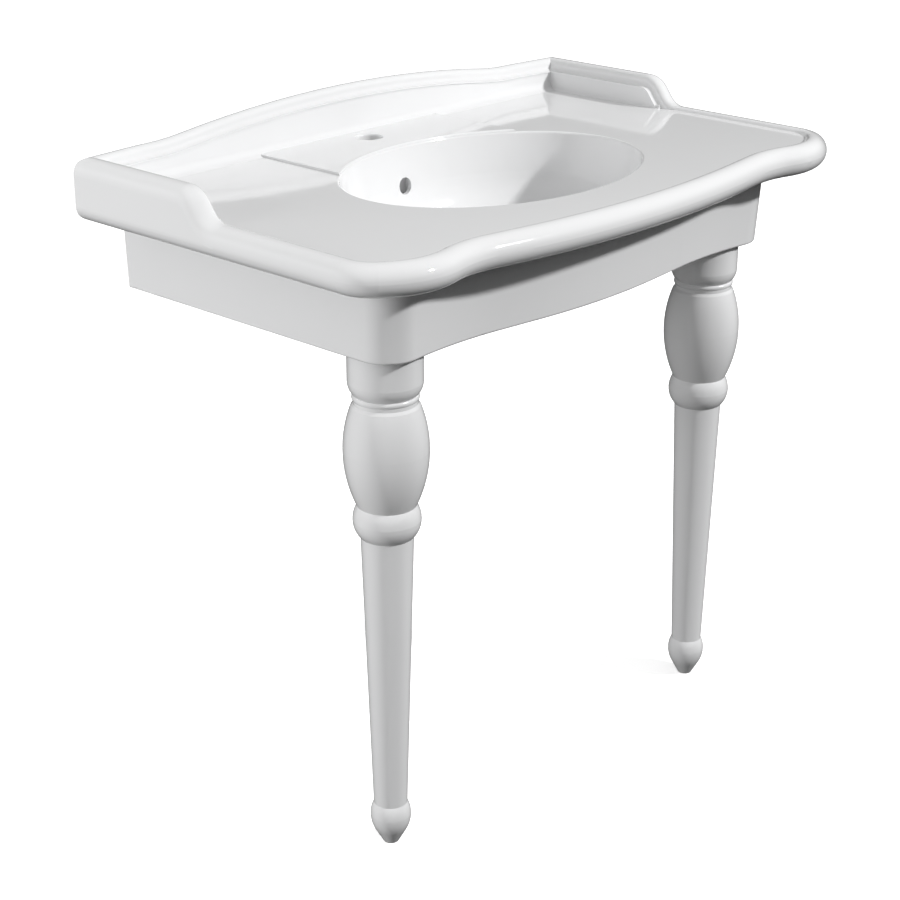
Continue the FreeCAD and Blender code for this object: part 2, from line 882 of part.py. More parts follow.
def basin():
    """The basin as one casting."""
    top = deck().multiFuse(rim())
    upper = upstand_cap() + [upstand_plate()] + splashback_cap() + splashback_ends() + foot_coves()
    top = top.multiFuse(with_mirror(upper) + [splashback_plate()])
    for waste in with_mirror([end_wedge()] + rear_edge_cut()):
        top = top.cut(waste)
    top = top.multiFuse(with_mirror([corner_cap()])).removeSplitter()
    block = apron_block()
    body = top.fuse(block).cut(under_cavity())
    body = body.multiFuse([bowl_shell()] + overflow_boss() + leg_pads(block))
    body = body.cut(bowl_hollow())
    body = body.fuse(tap_deck())
    for hole in overflow_passage() + basin_holes() + [tap_hole()]:
        body = body.cut(hole)
    return body.removeSplitter()


# ---- legs ----


def swell(start, peak):
    """Arc from a point out to the widest point, upright there; points are (radius, 0, height)."""
    rise = peak.z - start.z
    swing = peak.x - start.x
    radius = (swing**2 + rise**2) / (2 * swing)
    return arc_about(V(peak.x - radius, 0, peak.z), start, peak)


def leg_profile():
    """Outer line of the leg from the floor to its top."""
    tip = V(foot_tip_radius, 0, 0)
    taper = V(foot_taper_radius, 0, foot_taper_height)
    foot = V(foot_radius, 0, foot_radius_height)
    neck = V(foot_neck_radius, 0, foot_neck_height)
    shaft = V(shaft_top_radius, 0, shaft_top_height)
    ring = V(ring_radius, 0, ring_height)
    waist = V(waist_radius, 0, waist_height)
    bulb = V(bulb_radius, 0, bulb_height)
    collar = V(collar_radius, 0, collar_height)
    groove_low = V(groove_radius, 0, groove_bottom_height)
    groove_high = V(groove_radius, 0, groove_top_height)
    astragal = V(astragal_radius, 0, astragal_height)
    drum_neck = V(drum_neck_radius, 0, drum_neck_height)
    shoulder = V(drum_shoulder_radius, 0, drum_shoulder_height)
    drum = V(drum_radius, 0, drum_round_height)
    return [
        line(tip, taper),
        swell(taper, foot),
        swell(neck, foot),
        line(neck, shaft),
        swell(shaft, ring),
        swell(waist, ring),
        swell(waist, bulb),
        swell(collar, bulb),
        line(collar, groove_low),
        line(groove_low, groove_high),
        arc3(groove_high, astragal, drum_neck),
        arc3(drum_neck, shoulder, drum),
        line(drum, V(drum_radius, 0, leg_top)),
    ]


def leg(x):
    """One hollow leg with a closed top, bored for its insert."""
    top = V(drum_radius, 0, leg_top)
    edges = leg_profile()
    edges.append(line(top, V(0, 0, leg_top)))
    edges.append(line(V(0, 0, leg_top), V(0, 0, 0)))
    edges.append(line(V(0, 0, 0), V(foot_tip_radius, 0, 0)))
    body = face_of(edges).revolve(V(0, 0, 0), UP, 360)
    vent = V(leg_vent_radius, 0, -band_overlap)
    inner = [
        V(0, 0, -band_overlap),
        vent,
        V(leg_vent_radius, 0, leg_floor_height),
        V(foot_neck_radius - leg_wall, 0, foot_radius_height),
        V(foot_neck_radius - leg_wall, 0, foot_neck_height),
        V(shaft_top_radius - leg_wall, 0, shaft_top_height),
        V(waist_radius - leg_wall, 0, waist_height),
        V(bulb_radius - leg_wall, 0, leg_bore_bulge_height),
        V(groove_radius - leg_wall, 0, collar_height),
        V(groove_radius - leg_wall, 0, leg_bore_top),
        V(0, 0, leg_bore_top),
        V(0, 0, -band_overlap),
    ]
    bore = Part.Face(Part.makePolygon(inner)).revolve(V(0, 0, 0), UP, 360)
    socket_r = insert_radius + insert_clearance
    socket = Part.makeCylinder(socket_r, leg_cap_thickness, V(0, 0, insert_bottom))
    return body.cut(bore).cut(socket).translated(V(x, leg_y, 0))


def leg_gasket(x):
    """Soft ring between the leg and the apron."""
    return tube(leg_gasket_radius, stud_hole_radius, leg_top, apron_bottom_height, x, leg_y)


def leg_insert(x):
    """Threaded bush bonded into the top of the leg."""
    bore = stud_radius + thread_clearance
    return tube(insert_radius, bore, insert_bottom, insert_top, x, leg_y)


def leg_stud(x):
    """Threaded rod from the bush up through the pad."""
    bottom = insert_bottom + stud_above_floor
    length = nut_top + stud_above_nut - bottom
    return Part.makeCylinder(stud_radius, length, V(x, leg_y, bottom))


def leg_cushion(x):
    """Soft washer on the pad."""
    bore = stud_radius + washer_clearance
    return tube(cushion_radius, bore, pad_top, cushion_top, x, leg_y)


def leg_washer(x):
    """Steel washer on the soft one."""
    bore = stud_radius + washer_clearance
    return tube(washer_radius, bore, cushion_top, washer_top, x, leg_y)


def leg_nut(x):
    """Hexagon nut with chamfered corners."""
    corner = nut_across_flats / math.sqrt(3)
    points = []
    for k in range(7):
        angle = math.radians(60 * k)
        points.append(V(x + corner * math.cos(angle), leg_y + corner * math.sin(angle), washer_top))
    prism = Part.Face(Part.makePolygon(points)).extrude(UP * nut_height)
    bore = Part.makeCylinder(stud_radius + thread_clearance, nut_height, V(x, leg_y, washer_top))
    crown = nut_across_flats / 2 - nut_chamfer
    cone = Part.makeCone(crown + nut_height, crown, nut_height, V(x, leg_y, washer_top))
    return prism.common(cone).cut(bore)


# ---- waste and plug ----


def waste_body():
    """Flanged tail with overflow slots and a spider for the plug guide."""
    tail_bottom = flange_underside - waste_tail_length
    flange = Part.makeCylinder(waste_flange_radius, waste_flange_thickness, V(0, bowl_y, flange_underside))
    tail = Part.makeCylinder(waste_tail_radius, waste_tail_length, V(0, bowl_y, tail_bottom))
    body = flange.fuse(tail)
    relief_bottom = tail_bottom + waste_outlet_length
    relief_radius = waste_tail_radius - waste_relief_depth
    relief_top = relief_bottom + waste_relief_width
    body = body.cut(tube(waste_flange_radius, relief_radius, relief_bottom, relief_top, 0, bowl_y))
    length = waste_tail_length + waste_flange_thickness
    body = body.cut(Part.makeCylinder(waste_bore_radius, length, V(0, bowl_y, tail_bottom)))
    body = body.cut(Part.makeCylinder(plug_seat_radius, plug_seat_depth, V(0, bowl_y, seal_floor)))
    half_slot = waste_slot_width / 2
    reach = waste_tail_radius + waste_slot_width
    slots = box(-half_slot, half_slot, bowl_y - reach, bowl_y + reach, passage_bottom, passage_top)
    body = body.cut(slots)
    half_web = spider_web_width / 2
    inner = waste_bore_radius + (waste_tail_radius - waste_bore_radius) / 2
    web_x = box(-inner, inner, bowl_y - half_web, bowl_y + half_web, spider_bottom, spider_top)
    web_y = box(-half_web, half_web, bowl_y - inner, bowl_y + inner, spider_bottom, spider_top)
    hub = Part.makeCylinder(spider_hub_radius, spider_height, V(0, bowl_y, spider_bottom))
    body = body.multiFuse([web_x, web_y, hub])
    bore = cartridge_spigot_radius + thread_clearance
    return body.cut(Part.makeCylinder(bore, spider_height, V(0, bowl_y, spider_bottom))).removeSplitter()


def waste_flange_gasket():
    """Soft ring under the flange, in the seat of the bowl floor."""
    return tube(waste_flange_radius, waste_tail_radius + thread_clearance, seat_floor, flange_underside, 0, bowl_y)


def waste_lower_gasket():
    """Tapered soft washer under the basin."""
    top_r = lower_gasket_radius
    low_r = lower_gasket_radius - lower_gasket_height / 4
    cone = Part.makeCone(low_r, top_r, lower_gasket_height, V(0, bowl_y, gasket_bottom))
    bore = waste_tail_radius + thread_clearance
    return cone.cut(Part.makeCylinder(bore, lower_gasket_height, V(0, bowl_y, gasket_bottom)))


def waste_slip_washer():
    """Hard washer between the soft one and the back nut."""
    bore = waste_tail_radius + thread_clearance
    return tube(slip_washer_radius, bore, slip_bottom, gasket_bottom, 0, bowl_y)


def waste_backnut():
    """Lugged nut that draws the waste down."""
    ring = Part.makeCylinder(backnut_radius, backnut_height, V(0, bowl_y, nut_bottom))
    half = backnut_lug_width / 2
    reach = backnut_radius + backnut_lug_rise
    lugs = []
    for k in range(backnut_lug_count):
        lug = box(0, reach, -half, half, nut_bottom, slip_bottom)
        lug.rotate(V(0, 0, 0), UP, 360 / backnut_lug_count * k)
        lugs.append(lug.translated(V(0, bowl_y, 0)))
    bore = Part.makeCylinder(waste_tail_radius + thread_clearance, backnut_height, V(0, bowl_y, nut_bottom))
    return ring.multiFuse(lugs).cut(bore).removeSplitter()


def plug_cartridge():
    """Guide for the plug's stem, standing on the spider."""
    spigot_bottom = spider_top - cartridge_spigot_length
    barrel = Part.makeCylinder(cartridge_radius, cartridge_top - spider_top, V(0, bowl_y, spider_top))
    spigot = Part.makeCylinder(cartridge_spigot_radius, cartridge_spigot_length, V(0, bowl_y, spigot_bottom))
    bore_bottom = spigot_bottom + cartridge_floor
    bore_r = plug_stem_radius + plug_running_clearance
    bore = Part.makeCylinder(bore_r, cartridge_top - bore_bottom, V(0, bowl_y, bore_bottom))
    return barrel.fuse(spigot).cut(bore).removeSplitter()


def plug():
    """Round cap with a rounded edge on a central stem."""
    r = plug_radius
    edge = plug_edge_radius
    top = plug_bottom + plug_thickness
    stem_r = plug_stem_radius
    stem_bottom = plug_bottom - plug_stem_length
    section = face_of([
        line(V(0, 0, stem_bottom), V(stem_r, 0, stem_bottom)),
        line(V(stem_r, 0, stem_bottom), V(stem_r, 0, plug_bottom)),
        line(V(stem_r, 0, plug_bottom), V(r, 0, plug_bottom)),
        line(V(r, 0, plug_bottom), V(r, 0, top - edge)),
        arc_about(V(r - edge, 0, top - edge), V(r, 0, top - edge), V(r - edge, 0, top)),
        line(V(r - edge, 0, top), V(0, 0, top)),
        line(V(0, 0, top), V(0, 0, stem_bottom)),
    ])
    return section.revolve(V(0, 0, 0), UP, 360).translated(V(0, bowl_y, 0))


def plug_seal():
    """Soft ring under the plug."""
    return tube(plug_seal_outer, plug_seal_inner, seal_bottom, plug_bottom, 0, bowl_y)


def build():
    """Every node by name."""
    nodes = {"basin": basin()}
    makers = {
        "leg": leg,
        "leg_gasket": leg_gasket,
        "leg_insert": leg_insert,
        "leg_stud": leg_stud,
        "leg_cushion": leg_cushion,
        "leg_washer": leg_washer,
        "leg_nut": leg_nut,
    }
    for name, make in makers.items():
        nodes[name + "_left"] = make(-leg_x)
        nodes[name + "_right"] = make(leg_x)
    nodes["waste_body"] = waste_body()
    nodes["waste_flange_gasket"] = waste_flange_gasket()
    nodes["waste_lower_gasket"] = waste_lower_gasket()
    nodes["waste_slip_washer"] = waste_slip_washer()
    nodes["waste_backnut"] = waste_backnut()
    nodes["plug_cartridge"] = plug_cartridge()
    nodes["plug"] = plug()
    nodes["plug_seal"] = plug_seal()
    return nodes


def single_solid(shape):
    """The solid itself where a shape holds just one."""
    return shape.Solids[0] if len(shape.Solids) == 1 else shape


os.makedirs("parts", exist_ok=True)
for name, shape in build().items():
    solid = single_solid(shape)
    bounds = solid.BoundBox
    print(name, len(shape.Solids), solid.isValid(), round(solid.Volume),
          round(bounds.XMin, 2), round(bounds.XMax, 2), round(bounds.YMin, 2),
          round(bounds.YMax, 2), round(bounds.ZMin, 2), round(bounds.ZMax, 2))
    solid.exportStep("parts/" + name + ".step")
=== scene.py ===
"""Looks of the console washbasin: glazed casting and legs, their fixings, the waste and its plug."""

import json
import logging
import math
from dataclasses import dataclass, field
from enum import Enum
from typing import Iterable, Optional, Sequence, Union

import bpy
from mathutils import Euler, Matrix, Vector

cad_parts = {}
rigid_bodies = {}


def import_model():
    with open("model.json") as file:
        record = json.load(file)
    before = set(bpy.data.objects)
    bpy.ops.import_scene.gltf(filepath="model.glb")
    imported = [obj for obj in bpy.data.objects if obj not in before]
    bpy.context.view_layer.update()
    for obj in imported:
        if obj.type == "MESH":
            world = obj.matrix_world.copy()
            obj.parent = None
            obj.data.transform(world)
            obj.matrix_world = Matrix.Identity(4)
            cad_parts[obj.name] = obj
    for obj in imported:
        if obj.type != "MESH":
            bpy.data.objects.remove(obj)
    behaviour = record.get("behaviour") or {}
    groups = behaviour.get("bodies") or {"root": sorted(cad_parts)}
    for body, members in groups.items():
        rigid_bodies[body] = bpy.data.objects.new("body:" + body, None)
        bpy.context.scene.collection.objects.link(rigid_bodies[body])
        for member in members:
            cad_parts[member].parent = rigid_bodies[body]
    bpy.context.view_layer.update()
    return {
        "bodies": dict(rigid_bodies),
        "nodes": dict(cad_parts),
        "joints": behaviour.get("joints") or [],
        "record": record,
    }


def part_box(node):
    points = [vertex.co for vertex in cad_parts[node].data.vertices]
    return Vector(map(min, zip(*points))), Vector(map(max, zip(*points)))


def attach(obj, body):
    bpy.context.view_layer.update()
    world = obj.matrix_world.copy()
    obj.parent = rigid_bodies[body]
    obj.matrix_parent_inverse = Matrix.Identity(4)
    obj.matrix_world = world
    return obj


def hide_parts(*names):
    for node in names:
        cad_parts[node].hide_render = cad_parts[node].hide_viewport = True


logging.basicConfig(level=logging.INFO, format="%(name)s: %(message)s")
log = logging.getLogger("washbasin")

Pair = tuple[float, float]
Profile = Sequence[Pair]
Triple = tuple[float, float, float]
Material = bpy.types.Material
Object = bpy.types.Object
Socket = bpy.types.NodeSocket

MM = 0.001
WELD = 1e-6
TURNED_CORNERS = 96
EDGE_STEPS = 3
SMOOTH_ANGLE = math.radians(32.0)
QUARTER_TURN = 90.0

# Shares of a thread's pitch that each of its flats and each of its flanks takes.
THREAD_FLAT = 0.12
THREAD_FLANK = 0.38

# Most values of a noise lie between these two.
NOISE_SPAN = (0.3, 0.7)
RELIEF_STRENGTH = 0.5


class Side(Enum):
    """The two legs."""

    LEFT = "left"
    RIGHT = "right"


class Body(Enum):
    """The bodies that pieces ride on."""

    CONSOLE = "console"
    PLUG = "plug"


class Ramp(Enum):
    """How a value goes from one end of its span to the other."""

    STRAIGHT = "LINEAR"
    SOFT = "SMOOTHSTEP"


class Mix(Enum):
    """What is mixed."""

    COLOUR = "RGBA"
    NUMBER = "FLOAT"


class Merge(Enum):
    """What becomes of a piece where a second one meets it."""

    CUT = "DIFFERENCE"
    JOIN = "UNION"


# ---- finishes ----


@dataclass(frozen=True)
class Grain:
    """Fineness of a noise: waves per metre, and octaves."""

    waves: float
    octaves: float


class NodeSketch:
    """A node tree with short ways to add and join nodes."""

    def __init__(self, tree: bpy.types.NodeTree) -> None:
        """Take up a node tree."""
        self.tree = tree

    def add(self, kind: str, **settings: object) -> bpy.types.Node:
        """Add a node.

        Args:
            kind: Node type.
            settings: Properties of the node by name.

        Returns:
            The new node.
        """
        node = self.tree.nodes.new(kind)
        for name, value in settings.items():
            setattr(node, name, value)
        return node

    def join(self, start: Socket, end: Socket) -> None:
        """Link an output to an input."""
        self.tree.links.new(start, end)

    def feed(self, socket: Socket, value: Union[Socket, float, Triple]) -> None:
        """Link an input to an output, or set it to a plain value.

        Args:
            socket: The input.
            value: An output, a number or a colour.
        """
        if isinstance(value, Socket):
            self.join(value, socket)
        elif socket.type == "RGBA":
            socket.default_value = (*value, 1.0)
        else:
            socket.default_value = value

    def remap(self, value: Socket, span: Pair, out: Pair, ramp: Ramp = Ramp.STRAIGHT) -> Socket:
        """Carry a value from one span to another, held at its ends.

        Args:
            value: The value.
            span: Where it comes from.
            out: Where it goes to.
            ramp: How it goes between the ends.

        Returns:
            The new value.
        """
        node = self.add("ShaderNodeMapRange", interpolation_type=ramp.value)
        for name, number in zip(("From Min", "From Max", "To Min", "To Max"), (*span, *out)):
            node.inputs[name].default_value = number
        self.join(value, node.inputs["Value"])
        return node.outputs["Result"]

    def mix(self, factor: Socket, low: Union[Socket, float, Triple], high: Union[Socket, float, Triple],
            what: Mix = Mix.COLOUR) -> Socket:
        """A value between two others.

        Args:
            factor: Where it lies between them, from 0 to 1.
            low: Output, number or colour at 0.
            high: Output, number or colour at 1.
            what: Whether colours or numbers are mixed.

        Returns:
            The mixed value.
        """
        node = self.add("ShaderNodeMix", data_type=what.value)
        self.join(factor, node.inputs["Factor"])
        self.feed(node.inputs["A"], low)
        self.feed(node.inputs["B"], high)
        return node.outputs["Result"]


class FinishSketch(NodeSketch):
    """The nodes of a new material, with its shader and the object's own coordinates."""

    def __init__(self, name: str) -> None:
        """Start a material.

        Args:
            name: Name of the material.
        """
        self.material = bpy.data.materials.new(name)
        self.material.use_nodes = True
        super().__init__(self.material.node_tree)
        self.shader = self.tree.nodes["Principled BSDF"]
        self.place = self.add("ShaderNodeTexCoord").outputs["Object"]

    def noise(self, grain: Grain, stretch: Optional[Triple] = None) -> Socket:
        """Noise over the object's own coordinates.

        Args:
            grain: How fine it is.
            stretch: Factors along the three axes.

        Returns:
            The noise, from 0 to 1.
        """
        source = self.place
        if stretch is not None:
            mapping = self.add("ShaderNodeMapping")
            mapping.inputs["Scale"].default_value = stretch
            self.join(source, mapping.inputs["Vector"])
            source = mapping.outputs["Vector"]
        texture = self.add("ShaderNodeTexNoise")
        texture.inputs["Scale"].default_value = grain.waves
        texture.inputs["Detail"].default_value = grain.octaves
        self.join(source, texture.inputs["Vector"])
        return texture.outputs["Fac"]

    def dress(self, colour: Socket, roughness: Socket) -> None:
        """Join a colour and a roughness to the shader."""
        self.join(colour, self.shader.inputs["Base Color"])
        self.join(roughness, self.shader.inputs["Roughness"])

    def bump(self, height: Socket, distance: float, strength: float) -> None:
        """Give the shader a small relief.

        Args:
            height: Height of the relief, from 0 to 1.
            distance: Real height that 1 stands for.
            strength: How strongly it shows.
        """
        node = self.add("ShaderNodeBump")
        node.inputs["Strength"].default_value = strength
        node.inputs["Distance"].default_value = distance
        self.join(height, node.inputs["Height"])
        self.join(node.outputs["Normal"], self.shader.inputs["Normal"])

    def set(self, **values: float) -> None:
        """Set plain shader inputs, with underscores for spaces in their names."""
        for name, value in values.items():
            self.shader.inputs[name.replace("_", " ")].default_value = value


def shaded(colour: Triple, share: float) -> Triple:
    """A colour with its light cut down to a share."""
    return tuple(part * share for part in colour)


@dataclass(frozen=True)
class Glaze:
    """Fired white glaze, with bare clay where a casting stands or hangs."""

    name: str
    bare_behind: float
    behind_fade: Pair = (0.5 * MM, 0.2 * MM)
    bare_below: float = 1.2 * MM
    light: Triple = (0.797, 0.799, 0.803)
    deep: Triple = (0.782, 0.785, 0.790)
    cloud: Grain = Grain(7.0, 3.0)
    roughness: Pair = (0.06, 0.10)
    roughness_cloud: Grain = Grain(35.0, 2.0)
    ripple: Grain = Grain(60.0, 2.0)
    ripple_height: float = 0.06 * MM
    ripple_strength: float = 0.6
    ior: float = 1.52
    coat: float = 0.35
    coat_roughness: float = 0.05
    clay: Triple = (0.72, 0.69, 0.64)
    clay_shade: float = 0.9
    clay_grain: Grain = Grain(900.0, 3.0)
    clay_roughness: float = 0.75

    def bare(self, sketch: FinishSketch) -> Socket:
        """Where the clay is bare: at the rear face and at the lowest tip.

        Args:
            sketch: The material's nodes.

        Returns:
            1 on clay and 0 on glaze.
        """
        axes = sketch.add("ShaderNodeSeparateXYZ")
        sketch.join(sketch.place, axes.inputs["Vector"])
        start, end = (self.bare_behind - fade for fade in self.behind_fade)
        behind = sketch.remap(axes.outputs["Y"], (start, end), (0.0, 1.0))
        below = sketch.remap(axes.outputs["Z"], (self.bare_below / 2, self.bare_below), (1.0, 0.0))
        either = sketch.add("ShaderNodeMath", operation="MAXIMUM")
        sketch.join(behind, either.inputs[0])
        sketch.join(below, either.inputs[1])
        return either.outputs[0]

    def build(self) -> Material:
        """Make the material.

        Returns:
            The glaze with its bare places.
        """
        sketch = FinishSketch(self.name)
        bare = self.bare(sketch)
        glaze = sketch.mix(sketch.noise(self.cloud), self.deep, self.light)
        clay = sketch.mix(sketch.noise(self.clay_grain), shaded(self.clay, self.clay_shade), self.clay)
        glaze_roughness = sketch.remap(sketch.noise(self.roughness_cloud), NOISE_SPAN, self.roughness)
        roughness = sketch.mix(bare, glaze_roughness, self.clay_roughness, Mix.NUMBER)
        sketch.dress(sketch.mix(bare, glaze, clay), roughness)
        sketch.bump(sketch.noise(self.ripple), self.ripple_height, self.ripple_strength)
        sketch.set(IOR=self.ior, Coat_Weight=self.coat, Coat_Roughness=self.coat_roughness)
        return sketch.material


@dataclass(frozen=True)
class Metal:
    """Bare or plated metal with fine wear."""

    name: str
    colour: Triple
    dull: Triple
    roughness: Pair
    relief: float = 0.01 * MM
    stretch: Triple = (1.0, 1.0, 6.0)
    wear: Grain = Grain(160.0, 4.0)
    scratches: Grain = Grain(900.0, 2.0)

    def build(self) -> Material:
        """Make the material.

        Returns:
            The worn metal.
        """
        sketch = FinishSketch(self.name)
        wear = sketch.noise(self.wear, self.stretch)
        colour = sketch.mix(wear, self.dull, self.colour)
        sketch.dress(colour, sketch.remap(wear, NOISE_SPAN, self.roughness))
        sketch.bump(sketch.noise(self.scratches, self.stretch), self.relief, RELIEF_STRENGTH)
        sketch.set(Metallic=1.0)
        return sketch.material


@dataclass(frozen=True)
class Polymer:
    """Rubber or moulded plastic."""

    name: str
    colour: Triple
    roughness: float
    relief: float = 0.03 * MM
    mottle_shade: float = 0.86
    mottle: Grain = Grain(240.0, 3.0)
    dulling: float = 0.12
    dull_spots: Grain = Grain(500.0, 2.0)
    skin: Grain = Grain(1400.0, 2.0)

    def build(self) -> Material:
        """Make the material.

        Returns:
            The mottled polymer.
        """
        sketch = FinishSketch(self.name)
        colour = sketch.mix(sketch.noise(self.mottle), shaded(self.colour, self.mottle_shade), self.colour)
        span = (self.roughness, self.roughness + self.dulling)
        sketch.dress(colour, sketch.remap(sketch.noise(self.dull_spots), NOISE_SPAN, span))
        sketch.bump(sketch.noise(self.skin), self.relief, RELIEF_STRENGTH)
        return sketch.material


CHROME = Metal("chrome", colour=(0.86, 0.87, 0.88), dull=(0.78, 0.79, 0.80), roughness=(0.05, 0.11))
ZINC = Metal(
    "zinc", colour=(0.66, 0.67, 0.68), dull=(0.50, 0.51, 0.53), roughness=(0.26, 0.42), relief=0.02 * MM
)
BRASS = Metal(
    "brass", colour=(0.76, 0.58, 0.29), dull=(0.69, 0.52, 0.25), roughness=(0.24, 0.36), relief=0.02 * MM,
    stretch=(1.0, 1.0, 1.0)
)
BLACK_RUBBER = Polymer("black_rubber", colour=(0.045, 0.045, 0.047), roughness=0.62)
PALE_RUBBER = Polymer("pale_rubber", colour=(0.60, 0.60, 0.585), roughness=0.55)
NYLON = Polymer("nylon", colour=(0.78, 0.78, 0.755), roughness=0.38, relief=0.02 * MM)


@dataclass
class Materials:
    """Every finish, made once."""

    glaze: Material
    leg_glaze: Material
    chrome: Material = field(default_factory=CHROME.build)
    zinc: Material = field(default_factory=ZINC.build)
    brass: Material = field(default_factory=BRASS.build)
    black_rubber: Material = field(default_factory=BLACK_RUBBER.build)
    pale_rubber: Material = field(default_factory=PALE_RUBBER.build)
    nylon: Material = field(default_factory=NYLON.build)


# ---- modelling ----


def clear_selection() -> None:
    """Leave nothing selected."""
    bpy.ops.object.select_all(action="DESELECT")


def pick(piece: Object) -> None:
    """Make a piece the active one and the only one selected.

    Args:
        piece: The piece.
    """
    clear_selection()
    bpy.context.view_layer.objects.active = piece
    piece.select_set(True)


def open_mesh(piece: Object) -> None:
    """Pick a piece and open its mesh with all of it selected.

    Args:
        piece: The piece.
    """
    pick(piece)
    bpy.ops.object.mode_set(mode="EDIT")
    bpy.ops.mesh.select_all(action="SELECT")


def close_mesh() -> None:
    """Weld the open mesh, make its normals agree, outward where it is closed, and leave it."""
    bpy.ops.mesh.select_all(action="SELECT")
    bpy.ops.mesh.remove_doubles(threshold=WELD)
    bpy.ops.mesh.normals_make_consistent(inside=False)
    bpy.ops.object.mode_set(mode="OBJECT")


def settle(piece: Object, name: str) -> Object:
    """Name a finished piece, put its place into its mesh and shade its slight corners as curved.

    Args:
        piece: The piece.
        name: Its name.

    Returns:
        The piece.
    """
    pick(piece)
    bpy.ops.object.transform_apply(location=True, rotation=True, scale=True)
    bpy.ops.object.shade_smooth_by_angle(angle=SMOOTH_ANGLE)
    piece.name = name
    piece.data.name = name
    clear_selection()
    return piece


def turned(name: str, profile: Profile, centre: Vector, solid: bool = False) -> Object:
    """A turned piece, drawn ring by ring.

    Args:
        name: Name of the piece.
        profile: (radius, height) of each ring. A ring section ends where it starts.
        centre: A point on the upright axis; heights count from the floor.
        solid: Whether the first and the last ring are closed with a face.

    Returns:
        The piece.
    """
    radius, height = profile[0]
    clear_selection()
    bpy.ops.mesh.primitive_circle_add(
        vertices=TURNED_CORNERS, radius=radius, fill_type="NGON" if solid else "NOTHING",
        location=(centre.x, centre.y, height)
    )
    piece = bpy.context.object
    open_mesh(piece)
    for next_radius, next_height in profile[1:]:
        rise = next_height - height
        bpy.ops.mesh.extrude_region_move(TRANSFORM_OT_translate={"value": (0.0, 0.0, rise)})
        scale = next_radius / radius
        bpy.ops.transform.resize(
            value=(scale, scale, 1.0), center_override=(centre.x, centre.y, next_height)
        )
        radius, height = next_radius, next_height
    close_mesh()
    return settle(piece, name)


def quarter_round(r: float, z: float, radius: float, start: float, steps: int) -> list[Pair]:
    """Points of a quarter circle in a section.

    Args:
        r: Distance of its centre from the axis.
        z: Height of its centre.
        radius: Its radius.
        start: Degrees at which it starts; 0 points outward, 90 up.
        steps: Pieces that it is drawn with.

    Returns:
        Its points, from its start on.
    """
    angles = [math.radians(start + QUARTER_TURN * step / steps) for step in range(steps + 1)]
    return [(r + radius * math.cos(angle), z + radius * math.sin(angle)) for angle in angles]


def rounded_ring(outer: float, inner: float, bottom: float, top: float, edge: float) -> list[Pair]:
    """Section of a ring with rounded corners, from its lower outer corner round and back.

    Args:
        outer: Outer radius.
        inner: Inner radius.
        bottom: Lower height.
        top: Upper height.
        edge: Radius of the corners.

    Returns:
        The closed section.
    """
    corners = [
        (outer - edge, bottom + edge),
        (outer - edge, top - edge),
        (inner + edge, top - edge),
        (inner + edge, bottom + edge),
    ]
    points: list[Pair] = []
    for index, (r, z) in enumerate(corners):
        points += quarter_round(r, z, edge, (index - 1) * QUARTER_TURN, EDGE_STEPS)
    return points + [points[0]]


def ridges(root: float, crest: float, bottom: float, top: float, pitch: float) -> list[Pair]:
    """Upward line of whole thread ridges between two heights.

    Args:
        root: Radius between the ridges.
        crest: Radius on the ridges.
        bottom: Lower height.
        top: Upper height.
        pitch: About how far apart the ridges are.

    Returns:
        Its points, from its foot on.
    """
    count = max(1, int((top - bottom) / pitch))
    step = (top - bottom) / count
    rises = (0.0, THREAD_FLAT, THREAD_FLAT + THREAD_FLANK, 2 * THREAD_FLAT + THREAD_FLANK)
    radii = (root, root, crest, crest)
    points: list[Pair] = []
    for index in range(count):
        points += [(radius, bottom + step * (index + rise)) for radius, rise in zip(radii, rises)]
    return points + [(root, top)]


